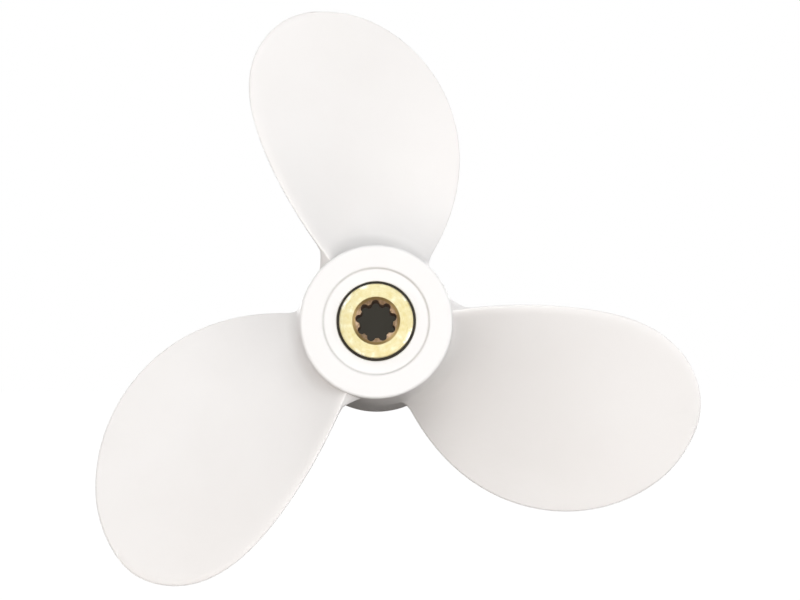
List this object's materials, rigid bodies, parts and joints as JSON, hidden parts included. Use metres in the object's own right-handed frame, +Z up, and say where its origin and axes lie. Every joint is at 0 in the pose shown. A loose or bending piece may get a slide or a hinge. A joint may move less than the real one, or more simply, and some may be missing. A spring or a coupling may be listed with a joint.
{
  "type": "boat propeller",
  "caption": "Small right-hand outboard boat propeller: white cast hub with broad rounded blades, a rubber damper and a splined brass sleeve for the shaft.",
  "frame": {"origin": "on the shaft's axis, halfway along the cast hub", "axes": "+Y forward along the shaft towards the boat, so the aft face points to -Y; +Z up, with one blade nearly upright; +X to the right as seen from astern"},
  "size_m": [0.1703, 0.0688, 0.1636],
  "materials": {
    "white_paint": "satin white paint over cast aluminium",
    "black_rubber": "matte moulded rubber",
    "brass": "turned and broached, uncoated"
  },
  "bodies": {
    "sleeve": {"splined_sleeve": "brass"},
    "damper": {"rubber_damper": "black_rubber"},
    "propeller": {"propeller_casting": "white_paint"}
  },
  "joints": [
    {"name": "damper_twist", "type": "hinge", "parent": "sleeve", "child": "damper", "pos_m": [0, 0, 0], "axis": [0, 1, 0], "range_deg": [-11, 11], "stiffness_Nm_per_rad": 160},
    {"name": "overload_slip", "type": "hinge", "parent": "damper", "child": "propeller", "pos_m": [0, 0, 0], "axis": [0, 1, 0], "continuous": true}
  ]
}
